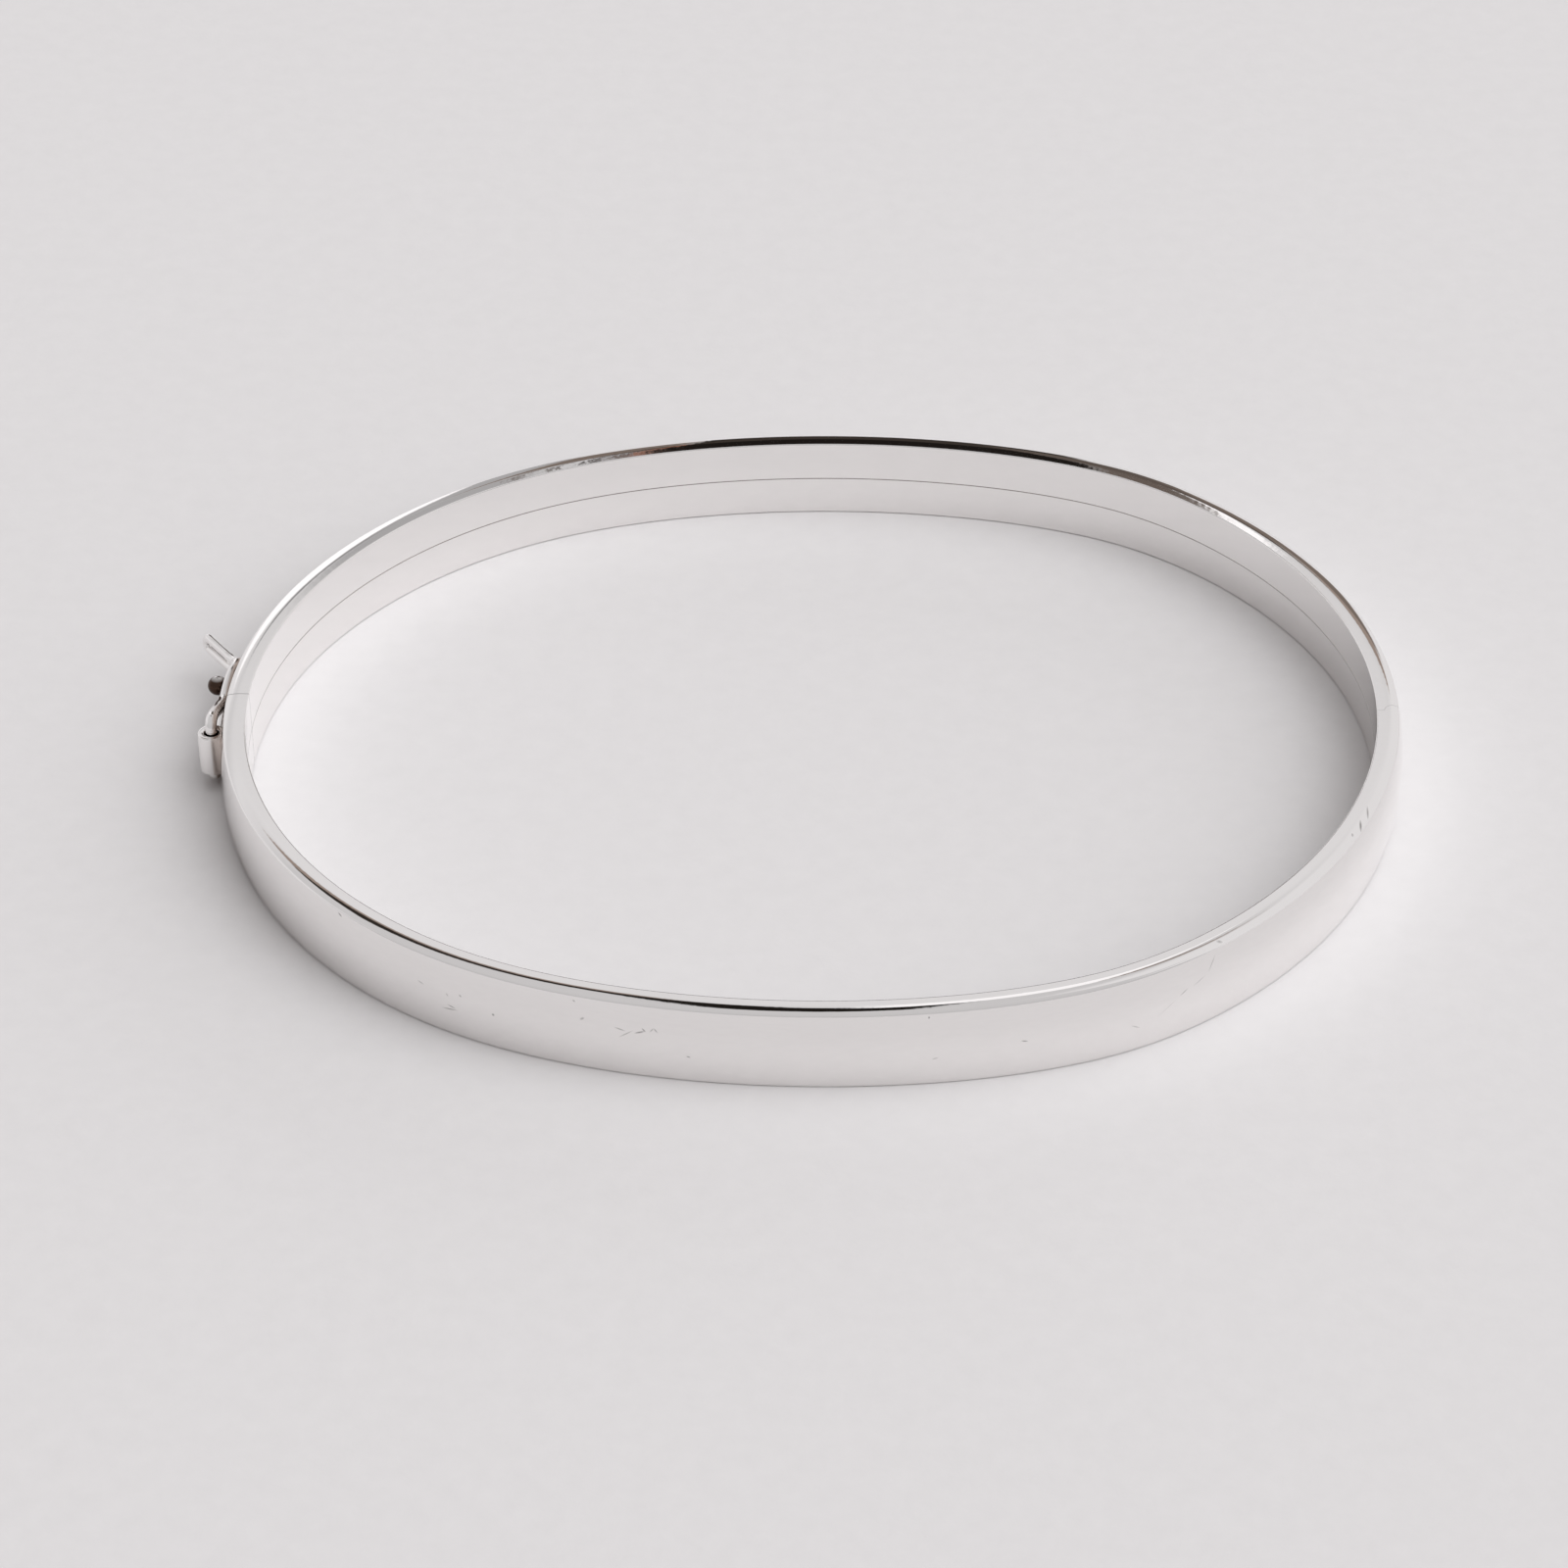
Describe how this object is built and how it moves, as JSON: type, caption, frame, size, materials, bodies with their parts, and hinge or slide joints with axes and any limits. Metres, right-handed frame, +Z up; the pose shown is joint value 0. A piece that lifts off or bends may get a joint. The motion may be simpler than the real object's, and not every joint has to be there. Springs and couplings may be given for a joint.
{
  "type": "hinged bangle",
  "caption": "Polished silver oval bangle of hollow D-section, hinged at one end and closed at the other by a tongue clasp with a figure-eight safety catch.",
  "frame": {"origin": "middle of the oval, on the plane that the bangle rests on when it lies on its side", "axes": "+X along the oval's long axis towards the hinge, +Y across it towards the back half, +Z up through the wrist opening"},
  "size_m": [0.0654, 0.0558, 0.0045],
  "materials": {
    "silver": "polished sterling silver with fine wear scratches"
  },
  "bodies": {
    "front": {"front_half": "silver", "hinge_pin": "silver"},
    "back": {"back_half": "silver", "clasp_tongue": "silver"},
    "catch": {"safety_catch": "silver"}
  },
  "joints": [
    {"name": "opening_hinge", "type": "hinge", "parent": "front", "child": "back", "pos_m": [0.03097, 0, 0.00225], "axis": [0, 0, -1], "range_deg": [0, 50]},
    {"name": "catch_swing", "type": "hinge", "parent": "front", "child": "catch", "pos_m": [-0.03184, -0.00209, 0.00225], "axis": [0, 0, 1], "range_deg": [0, 180]}
  ]
}
